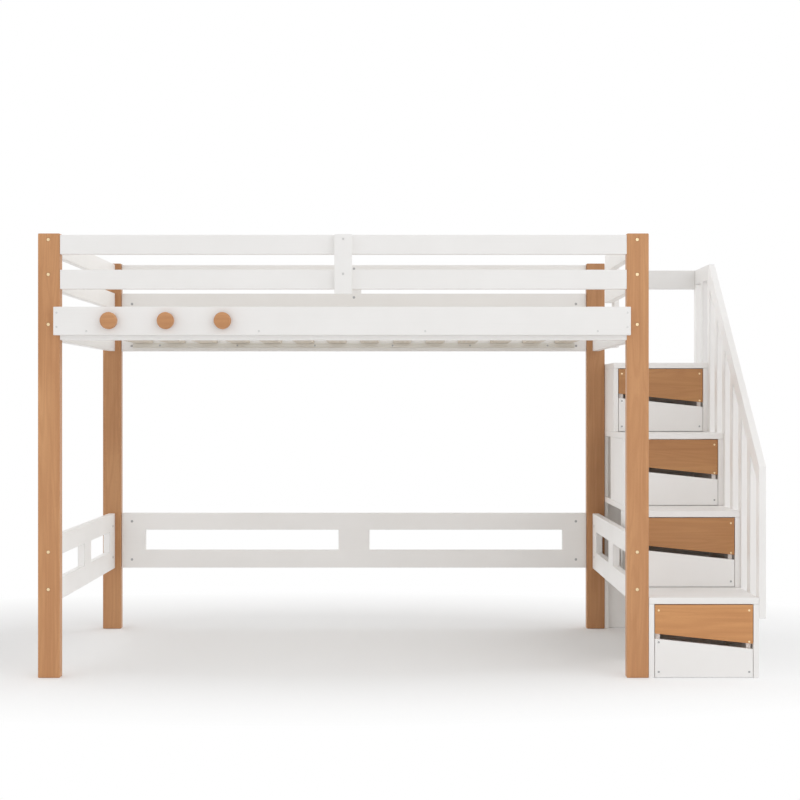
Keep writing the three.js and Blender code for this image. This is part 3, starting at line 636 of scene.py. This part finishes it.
def paint_nodes(bed, names, axis=None, corner="board", **kind):
    """Paints nodes white, with faint grain along an axis if one is given, and eases them"""
    finish_nodes(names, white_paint(bed.paint, axis, **kind), corner, bed.edges)


# Fastener heads. A head is made round +Z with its top at the origin, then turned to its spot.

RIM_SIDES = 24

# The floor of a recess in a head, against its mouth
RECESS_TAPER = 0.85

# The inner corners of a cross recess, against its points
CROSS_WAIST = 0.42

# How deep a head is recessed, against the recess in the wood that it lies in
SOCKET_DEPTH = 0.6
CROSS_DEPTH = 0.5

# The length of a nut's slot, against the nut's diameter
SLOT_LENGTH = 0.8

# Corners of a head that turn less than this are shaded smooth
SMOOTH_WITHIN = math.radians(35)


def hexagon(shape, width):
    """A hexagon socket's outline"""
    bmesh.ops.create_circle(shape, segments=6, radius=width / 2)


def cross(shape, width):
    """A cross recess, as a star with four points"""
    ring = bmesh.ops.create_circle(shape, segments=8, radius=width / 2)["verts"]
    bmesh.ops.scale(shape, verts=ring[::2], vec=(CROSS_WAIST, CROSS_WAIST, 1))


def slit(shape, length, width):
    """A straight slot"""
    ring = bmesh.ops.create_circle(shape, segments=4, radius=math.sqrt(0.5))["verts"]
    bmesh.ops.rotate(shape, verts=ring, matrix=Matrix.Rotation(math.pi / 4, 3, "Z"))
    bmesh.ops.scale(shape, verts=ring, vec=(length, width, 1))


def drawn_down(shape, edges, drop, widen=1.0):
    """Extrudes a ring of edges, moves the new ring down and scales it, and gives it back"""
    made = bmesh.ops.extrude_edge_only(shape, edges=edges)["geom"]
    verts = [item for item in made if isinstance(item, bmesh.types.BMVert)]
    bmesh.ops.scale(shape, verts=verts, vec=(widen, widen, 1))
    bmesh.ops.translate(shape, verts=verts, vec=(0, 0, -drop))
    return [item for item in made if isinstance(item, bmesh.types.BMEdge)]


def head(diameter, height, rim, recess, recess_depth):
    """One fastener head, with a chamfer round it and a recess in its top"""
    shape = bmesh.new()
    recess(shape)
    # The recess gets as many edges as the rim, so that the two can be bridged evenly
    cuts = RIM_SIDES // len(shape.edges) - 1
    bmesh.ops.subdivide_edges(shape, edges=shape.edges[:], cuts=cuts)
    recess_edges = shape.edges[:]
    top = bmesh.ops.create_circle(shape, segments=RIM_SIDES, radius=diameter / 2 - rim)["verts"]
    rim_edges = list({edge for vert in top for edge in vert.link_edges})
    bmesh.ops.bridge_loops(shape, edges=rim_edges + recess_edges)
    floor = drawn_down(shape, recess_edges, recess_depth, RECESS_TAPER)
    bmesh.ops.contextual_create(shape, geom=floor)
    side = drawn_down(shape, rim_edges, rim, diameter / (diameter - 2 * rim))
    base = drawn_down(shape, side, height - rim)
    bmesh.ops.contextual_create(shape, geom=base)
    bmesh.ops.recalc_face_normals(shape, faces=shape.faces)
    for face in shape.faces:
        face.smooth = True
    for edge in shape.edges:
        edge.smooth = edge.calc_face_angle(0) < SMOOTH_WITHIN
    return shape


# Each of these gives back a head's shape and how far its top lies below the face

def bolt_head(heads):
    height = heads.bolt_recess_depth - heads.bolt_sink - HALF_GAP
    return head(
        heads.bolt_diameter, height, heads.rim, lambda shape: hexagon(shape, heads.bolt_socket),
        SOCKET_DEPTH * heads.bolt_recess_depth), heads.bolt_sink


def nut_head(heads):
    length, width = SLOT_LENGTH * heads.nut_diameter, heads.nut_slot_width
    return head(
        heads.nut_diameter, heads.proud, heads.rim / 2, lambda shape: slit(shape, length, width),
        heads.proud - HALF_GAP), -heads.proud


def screw_head(heads, height, recess_depth):
    return head(
        heads.screw_diameter, height, heads.rim, lambda shape: cross(shape, heads.screw_cross),
        recess_depth)


def sunk_screw_head(heads):
    depth = heads.screw_recess_depth
    height = depth - heads.screw_sink - HALF_GAP
    return screw_head(heads, height, CROSS_DEPTH * depth), heads.screw_sink


def proud_screw_head(heads):
    return screw_head(heads, heads.proud, heads.proud - HALF_GAP), -heads.proud


def new_object(name, shape, material):
    """An object of a shape that is already in its place"""
    mesh = bpy.data.meshes.new(name)
    shape.to_mesh(mesh)
    shape.free()
    mesh.materials.append(material)
    piece = bpy.data.objects.new(name, mesh)
    bpy.context.scene.collection.objects.link(piece)
    return piece


def place_heads(bed, name, kind, spots, metal, body="bed"):
    """Puts a head at each spot and makes one piece of them, which rides on a body"""
    if not spots:
        raise RuntimeError(f"there is no place for {name}")
    pattern, sink = kind(bed.heads)
    model = bpy.data.meshes.new(name + "_pattern")
    pattern.to_mesh(model)
    pattern.free()
    together = bmesh.new()
    for place, outward in spots:
        before = len(together.verts)
        together.from_mesh(model)
        together.verts.ensure_lookup_table()
        turn = Vector((0, 0, 1)).rotation_difference(outward).to_matrix().to_4x4()
        bmesh.ops.transform(
            together, matrix=Matrix.Translation(place - sink * outward) @ turn,
            verts=together.verts[before:])
    bpy.data.meshes.remove(model)
    piece = new_object(name, together, plated_metal(metal, bed.metal))
    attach(piece, body)


# Where the fasteners are. A spot is a place on a face and the way that the face looks.

# The newel, seven balusters and the rear post
RAILING_UPRIGHTS = 9


def spots_on(box, outward, across, heights):
    """Spots on the outward face of a box, at places across it and at heights"""
    low, high = box
    spots = []
    for reach, z in product(across, heights):
        if outward.x:
            place = (high.x if outward.x > 0 else low.x, reach, z)
        else:
            place = (reach, high.y if outward.y > 0 else low.y, z)
        spots.append((Vector(place), outward))
    return spots


def reaches(rail, row):
    """Whether a rail along Y reaches a post. The right guards leave a way in at the back."""
    return row == "front" or not rail.startswith("guard_rail_right")


def end_bolt_heights(side, places):
    """For each rail along Y at one end of the bed, the heights of its bolts"""
    end, lower = f"end_rail_{side}", f"lower_rail_{side}"
    heights = {
        end: [middle(end).z + places.end_rail_bolt_rise],
        lower: pair(middle(lower).z, places.lower_end_spacing),
    }
    for guard in GUARDS:
        rail = f"guard_rail_{side}_{guard}"
        heights[rail] = [middle(rail).z + places.guard_bolt_rise]
    return heights


def long_bolt_heights(row, places):
    """For each rail along X at one side of the bed, the heights of its bolts"""
    heights = {f"side_rail_{row}": pair(middle(f"side_rail_{row}").z, places.side_rail_spacing)}
    for guard in GUARDS:
        rail = f"guard_rail_{row}_{guard}"
        heights[rail] = [middle(rail).z - places.guard_bolt_drop]
    if row == "back":
        heights["lower_rail_back"] = pair(middle("lower_rail_back").z, places.lower_back_spacing)
    return heights


def post_bolt_spots(places):
    spots = []
    for row, side in product(ROWS, SIDES):
        low, high = box = board_box(f"post_{row}_{side}")
        x = (low.x + high.x) / 2 + places.post_bolt_shift
        inset = places.side_bolt_inset
        y = low.y + inset if row == "front" else high.y - inset
        for rail, heights in end_bolt_heights(side, places).items():
            if reaches(rail, row):
                spots += spots_on(box, OUTWARD[row], [x], heights)
        for heights in long_bolt_heights(row, places).values():
            spots += spots_on(box, OUTWARD[side], [y], heights)
    return spots


def brace_screw_heights(places):
    return [middle(f"guard_rail_front_{guard}").z + places.guard_bolt_rise for guard in GUARDS]


def barrel_nut_spots(places):
    """Each bolt goes into a barrel nut, which shows on the inner face of its rail. The short
    guards at the ends have theirs on the outer face."""
    spots = []
    reach = places.nut_from_rail_end
    for row in ROWS:
        inward = -OUTWARD[row]
        for rail, heights in long_bolt_heights(row, places).items():
            low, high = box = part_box(rail)
            spots += spots_on(box, inward, (low.x + reach, high.x - reach), heights)
        x = middle(f"guard_brace_{row}").x
        for guard, z in zip(GUARDS, brace_screw_heights(places)):
            spots += spots_on(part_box(f"guard_rail_{row}_{guard}"), inward, [x], [z])
    for side in SIDES:
        for rail, heights in end_bolt_heights(side, places).items():
            low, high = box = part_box(rail)
            way = OUTWARD[side] if rail.startswith("guard") else -OUTWARD[side]
            ends = [low.y + reach]
            if reaches(rail, "back"):
                ends.append(high.y - reach)
            spots += spots_on(box, way, ends, heights)
    return spots


def cover_screw_spots(places):
    low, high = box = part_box("cover_board")
    centre = middle("cover_board")
    lower = [low.z + places.cover_screw_rise]
    spots = []
    for span in (places.cover_screw_span, places.cover_screw_inner_span):
        spots += spots_on(box, OUTWARD["front"], pair(centre.x, span), lower)
    ends = (low.x + places.cover_end_inset, high.x - places.cover_end_inset)
    heights = pair(centre.z + places.cover_end_rise, places.cover_end_spacing)
    return spots + spots_on(box, OUTWARD["front"], ends, heights)


def ledger_screw_spots(places):
    spots = []
    screws = places.ledger_screw_count
    for row in ROWS:
        ledger = f"slat_ledger_{row}"
        centre = middle(ledger)
        across = [
            centre.x + (i - (screws - 1) / 2) * places.ledger_screw_pitch for i in range(screws)]
        spots += spots_on(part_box(ledger), -OUTWARD[row], across, [centre.z])
    return spots


def brace_screw_spots(places):
    """The long guards' braces stand over their outer faces, and the short guard has a post"""
    heights = brace_screw_heights(places)
    spots = []
    for row in ROWS:
        brace = f"guard_brace_{row}"
        spots += spots_on(board_box(brace), OUTWARD[row], [middle(brace).x], heights)
    post = "guard_post_right"
    heights.append(middle("end_rail_right").z)
    return spots + spots_on(board_box(post), OUTWARD["right"], [middle(post).y], heights)


def railing_screw_spots(places):
    """Two screws in the foot of each upright, beside the tread that it laps"""
    low, high = box = board_box("railing_newel")
    pitch = (board_box("railing_rear_post")[0].y - low.y) / (RAILING_UPRIGHTS - 1)
    treads = [board_box(f"tread_{level}") for level in LEVELS]
    spots = []
    for i in range(RAILING_UPRIGHTS):
        front = low.y + i * pitch
        tread_top = max(top.z for start, top in treads if start.y <= front + HALF_GAP)
        heights = pair(tread_top - places.railing_lap / 2, places.railing_spacing)
        y = front + (high.y - low.y) / 2
        spots += spots_on(box, OUTWARD["right"], [y], heights)
    return spots


def drawer_screw_spots(level, places):
    """The upper front's screws and the lower front's"""
    low, high = board_box(f"drawer_{level}_front_upper")
    base_low, base_high = board_box(f"drawer_{level}_front_lower")
    left, right = low.x + places.drawer_screw_inset, high.x - places.drawer_screw_inset
    top = high.z - places.drawer_screw_drop
    bottom = base_low.z + places.drawer_screw_drop
    over_slot = low.z + places.over_slot
    under_slot = base_high.z - places.under_slot
    y = low.y + HALF_GAP
    upper = ((left, top), (right, top), (right, over_slot))
    lower = ((left, under_slot), (left, bottom), (right, bottom))
    return [
        [(Vector((x, y, z)), OUTWARD["front"]) for x, z in corners] for corners in (upper, lower)]


# One operator for each group of like pieces

class LOFTBED_OT_posts(Operator):
    """Varnish the four posts and round their edges"""

    bl_idname = "loft_bed.posts"
    bl_label = "Posts"

    def execute(self, context):
        bed = context.scene.loft_bed
        names = [f"post_{row}_{side}" for row, side in product(ROWS, SIDES)]
        # The back posts' lower tones are painted shade
        for name, tone in zip(names, bed.wood.post_shade_tones, strict=True):
            wood = varnished_wood(Z, bed.wood, f"_{name}", [tone] * 3)
            finish_nodes([name], wood, "post", bed.edges)
        return {"FINISHED"}


class LOFTBED_OT_bed_rails(Operator):
    """Paint the rails that carry the bed"""

    bl_idname = "loft_bed.bed_rails"
    bl_label = "Bed Rails"

    def execute(self, context):
        bed = context.scene.loft_bed
        paint_nodes(bed, nodes_named("side_rail_"), X)
        paint_nodes(bed, nodes_named("end_rail_"), Y)
        return {"FINISHED"}


class LOFTBED_OT_guards(Operator):
    """Paint the guard rails, their braces and the post of the short guard"""

    bl_idname = "loft_bed.guards"
    bl_label = "Guard Rails"

    def execute(self, context):
        bed = context.scene.loft_bed
        paint_nodes(bed, nodes_named("guard_rail_front", "guard_rail_back"), X)
        paint_nodes(bed, nodes_named("guard_rail_left", "guard_rail_right"), Y)
        paint_nodes(bed, nodes_named("guard_brace_", "guard_post_"), Z)
        return {"FINISHED"}


class LOFTBED_OT_cover_board(Operator):
    """Paint the cover board"""

    bl_idname = "loft_bed.cover_board"
    bl_label = "Cover Board"

    def execute(self, context):
        paint_nodes(context.scene.loft_bed, ["cover_board"], X)
        return {"FINISHED"}


class LOFTBED_OT_pegs(Operator):
    """Varnish the round pegs"""

    bl_idname = "loft_bed.pegs"
    bl_label = "Pegs"

    def execute(self, context):
        bed = context.scene.loft_bed
        wood = varnished_wood(X, bed.wood)
        finish_nodes(nodes_named("peg_"), wood, "peg", bed.edges, turned=True)
        return {"FINISHED"}


class LOFTBED_OT_lower_rails(Operator):
    """Paint the lower rails with their long openings"""

    bl_idname = "loft_bed.lower_rails"
    bl_label = "Lower Rails"

    def execute(self, context):
        bed = context.scene.loft_bed
        paint_nodes(bed, ["lower_rail_back"], X)
        paint_nodes(bed, ["lower_rail_left", "lower_rail_right"], Y)
        return {"FINISHED"}


class LOFTBED_OT_slats(Operator):
    """Finish the ledgers, the slats and the straps that hold the slats in one roll"""

    bl_idname = "loft_bed.slats"
    bl_label = "Slats"

    def execute(self, context):
        bed = context.scene.loft_bed
        finish_nodes(["slat_roll"], raw_slats(bed.slats), "slat", bed.edges)
        finish_nodes(nodes_named("slat_ledger_"), raw_ledgers(bed.slats), "slat", bed.edges)
        return {"FINISHED"}


class LOFTBED_OT_staircase(Operator):
    """Paint the treads, the sides, the stile and the back panel"""

    bl_idname = "loft_bed.staircase"
    bl_label = "Staircase"

    def execute(self, context):
        bed = context.scene.loft_bed
        paint_nodes(bed, nodes_named("tread_"))
        panels = nodes_named("stair_side_", "stair_stile", "stair_back_panel")
        paint_nodes(bed, panels, corner="panel")
        return {"FINISHED"}


class LOFTBED_OT_railing(Operator):
    """Paint the railing and the rail across the back of the platform"""

    bl_idname = "loft_bed.railing"
    bl_label = "Railing"

    def execute(self, context):
        bed = context.scene.loft_bed
        # The darker paint of the platform's rails is painted shade
        tone = bed.paint.rear_shade_tone
        paint_nodes(bed, ["railing_handrail", "railing_newel", "railing_rear_post"], Z)
        paint_nodes(bed, ["railing_top_rail"], Y, board="_rear", tone=tone)
        paint_nodes(bed, ["platform_back_rail"], X, board="_rear", tone=tone)
        return {"FINISHED"}


class LOFTBED_OT_drawers(Operator):
    """Varnish the drawers' upper fronts, and paint their lower fronts and boxes"""

    bl_idname = "loft_bed.drawers"
    bl_label = "Drawers"

    def execute(self, context):
        bed = context.scene.loft_bed
        # These tones paint shade on the three upper fronts and light on the lowest
        for level, tone in zip(LEVELS, bed.wood.drawer_shade_tones, strict=True):
            name = f"drawer_{level}"
            tones = toned(bed.wood.drawer_hue, [tone] * 3)
            wood = varnished_wood(X, bed.wood, f"_{name}", tones)
            finish_nodes([name + "_front_upper"], wood, "panel", bed.edges)
            paint_nodes(bed, [name + "_front_lower"], corner="panel")
            # The lighter paint inside the boxes is painted light
            box_light_tone = bed.paint.box_light_tone
            paint_nodes(bed, [name + "_box"], corner="panel", board="_box", tone=box_light_tone)
        return {"FINISHED"}


class LOFTBED_OT_bolts(Operator):
    """Set the bolts into the posts"""

    bl_idname = "loft_bed.bolts"
    bl_label = "Bolts"

    def execute(self, context):
        bed = context.scene.loft_bed
        place_heads(bed, "post_bolts", bolt_head, post_bolt_spots(bed.places), "brass")
        return {"FINISHED"}


class LOFTBED_OT_barrel_nuts(Operator):
    """Set the barrel nuts into the rails"""

    bl_idname = "loft_bed.barrel_nuts"
    bl_label = "Barrel Nuts"

    def execute(self, context):
        bed = context.scene.loft_bed
        place_heads(bed, "barrel_nuts", nut_head, barrel_nut_spots(bed.places), "zinc")
        return {"FINISHED"}


class LOFTBED_OT_board_screws(Operator):
    """Drive the screws of the cover board, the ledgers, the braces and the railing"""

    bl_idname = "loft_bed.board_screws"
    bl_label = "Board Screws"

    def execute(self, context):
        bed = context.scene.loft_bed
        screws = (
            ("cover_board_screws", proud_screw_head, cover_screw_spots, "bright_zinc"),
            # The ledger screws take the darker zinc, partly as painted shade under the bed
            ("ledger_screws", proud_screw_head, ledger_screw_spots, "zinc"),
            ("brace_screws", sunk_screw_head, brace_screw_spots, "bright_zinc"),
            ("railing_screws", sunk_screw_head, railing_screw_spots, "bright_zinc"),
        )
        for name, kind, spots, metal in screws:
            place_heads(bed, name, kind, spots(bed.places), metal)
        return {"FINISHED"}


class LOFTBED_OT_drawer_screws(Operator):
    """Drive the screws of the drawer fronts, brass above the finger slot and zinc below it"""

    bl_idname = "loft_bed.drawer_screws"
    bl_label = "Drawer Screws"

    def execute(self, context):
        bed = context.scene.loft_bed
        for level in LEVELS:
            body = f"drawer_{level}"
            upper, lower = drawer_screw_spots(level, bed.places)
            place_heads(bed, body + "_upper_screws", proud_screw_head, upper, "brass", body)
            # The lower screws take the darker zinc, partly as painted shade under the treads
            place_heads(bed, body + "_lower_screws", proud_screw_head, lower, "zinc", body)
        return {"FINISHED"}


class LOFTBED_OT_studio(Operator):
    """Lay the floor, and set up the light and the camera"""

    bl_idname = "loft_bed.studio"
    bl_label = "Studio"

    def execute(self, context):
        studio = context.scene.loft_bed.studio
        lay_floor(studio)
        light_room(context.scene, studio)
        hang_lamp(studio)
        set_camera(context.scene, studio)
        context.scene.view_settings.view_transform = "Standard"
        return {"FINISHED"}


SENSOR_WIDTH = 36


def seen_directly(tree):
    """1 for what the camera sees, straight or in metal or glass, and 0 for what only gives light"""
    path = tree.nodes.new("ShaderNodeLightPath")
    seen = combine(tree, "MAXIMUM", path.outputs["Is Camera Ray"], path.outputs["Is Glossy Ray"])
    return combine(tree, "MAXIMUM", seen, path.outputs["Is Transmission Ray"])


def lay_floor(studio):
    shape = bmesh.new()
    bmesh.ops.create_grid(shape, x_segments=1, y_segments=1, size=studio.floor_size / 2)
    bmesh.ops.translate(shape, verts=shape.verts, vec=(0, 0, -studio.floor_drop))
    floor = new_object("floor", shape, floor_material(studio))


def floor_material(studio):
    """A pale floor that keeps the bed's shadow and turns plain white further off"""
    material, tree, principled = new_material("pale_floor")
    tree.nodes.remove(principled)

    def shader(kind, inputs):
        return add_node(tree, kind, inputs).outputs[0]

    bounce = shader("ShaderNodeBsdfDiffuse", {"Color": [studio.floor_grey] * 3})
    near = shader("ShaderNodeBsdfDiffuse", {"Color": [studio.floor_seen] * 3})
    far = shader("ShaderNodeEmission", {})
    scale = Vector((1 / studio.fade_stretch, 1, 1))
    place = scaled_place(tree, scale, -Vector(studio.fade_centre) * scale)
    away = add_node(tree, "ShaderNodeVectorMath", {0: place}, operation="LENGTH")
    fade = remap(tree, away.outputs["Value"], studio.fade_start, studio.fade_end)
    ground = shader("ShaderNodeMixShader", {0: fade, 1: near, 2: far})
    whole = shader("ShaderNodeMixShader", {0: seen_directly(tree), 1: bounce, 2: ground})
    fill(tree, tree.nodes["Material Output"], {"Surface": whole})
    return material


def light_room(scene, studio):
    """Soft light mostly from both sides, as from two white walls, before a white background"""
    world = bpy.data.worlds.new("white_room")
    world.use_nodes = True
    tree = world.node_tree
    place = tree.nodes.new("ShaderNodeTexCoord").outputs["Generated"]
    way = add_node(tree, "ShaderNodeSeparateXYZ", {"Vector": place})
    light = 0.0
    for axis, share in (
            ("X", studio.from_right), ("X", -studio.from_left),
            ("Y", -studio.from_front), ("Z", studio.from_above)):
        wall = combine(tree, "MAXIMUM", combine(tree, "MULTIPLY", way.outputs[axis], share), 0)
        light = combine(tree, "ADD", wall, light)
    seen = seen_directly(tree)
    unseen = combine(tree, "SUBTRACT", 1, seen)
    strength = combine(tree, "ADD", seen, combine(tree, "MULTIPLY", unseen, light))
    fill(tree, tree.nodes["Background"], {"Color": (1, 1, 1), "Strength": strength})
    scene.world = world
    scene.cycles.max_bounces = scene.cycles.diffuse_bounces = studio.bounces


def hang_lamp(studio):
    lamp = bpy.data.lights.new("studio_lamp", "AREA")
    lamp.shape = "SQUARE"
    lamp.size = studio.lamp_size
    lamp.energy = studio.lamp_power
    holder = bpy.data.objects.new("studio_lamp", lamp)
    holder.location = studio.lamp_place
    aim = Vector(studio.lamp_aim) - holder.location
    holder.rotation_euler = aim.to_track_quat("-Z", "Y").to_euler()
    holder.visible_camera = False
    bpy.context.scene.collection.objects.link(holder)


def set_camera(scene, studio):
    front = board_box("post_front_left")[0].y
    camera = bpy.data.objects.new("camera", bpy.data.cameras.new("camera"))
    camera.data.sensor_width = SENSOR_WIDTH
    camera.data.lens = studio.lens
    camera.data.shift_x = -studio.shift
    camera.data.shift_y = studio.shift
    camera.location = (0, front - studio.camera_distance, studio.camera_height)
    camera.rotation_euler = (math.pi / 2, 0, 0)
    scene.collection.objects.link(camera)
    scene.camera = camera


STEPS = (
    LOFTBED_OT_studio, LOFTBED_OT_posts, LOFTBED_OT_bed_rails, LOFTBED_OT_guards,
    LOFTBED_OT_cover_board, LOFTBED_OT_pegs, LOFTBED_OT_lower_rails, LOFTBED_OT_slats,
    LOFTBED_OT_staircase, LOFTBED_OT_railing, LOFTBED_OT_drawers, LOFTBED_OT_bolts,
    LOFTBED_OT_barrel_nuts, LOFTBED_OT_board_screws, LOFTBED_OT_drawer_screws,
)


class LOFTBED_PT_finish(Panel):
    """The steps that finish the loft bed"""

    bl_idname = "LOFTBED_PT_finish"
    bl_label = "Loft Bed"
    bl_space_type = "VIEW_3D"
    bl_region_type = "UI"
    bl_category = "Loft Bed"

    def draw(self, context):
        for step in STEPS:
            self.layout.operator(step.bl_idname)


CLASSES = (
    WoodFinish, PaintFinish, SlatFinish, MetalFinish, EasedEdges, FastenerSizes, FastenerPlaces,
    StudioSettings, LoftBedSettings, *STEPS, LOFTBED_PT_finish,
)


def register():
    for kind in CLASSES:
        bpy.utils.register_class(kind)
    bpy.types.Scene.loft_bed = Group(LoftBedSettings, "Loft Bed", "The settings of the loft bed")


def unregister():
    del bpy.types.Scene.loft_bed
    for kind in reversed(CLASSES):
        bpy.utils.unregister_class(kind)


def main():
    register()
    for step in STEPS:
        group, name = step.bl_idname.split(".")
        getattr(getattr(bpy.ops, group), name)()


if __name__ == "__main__":
    main()
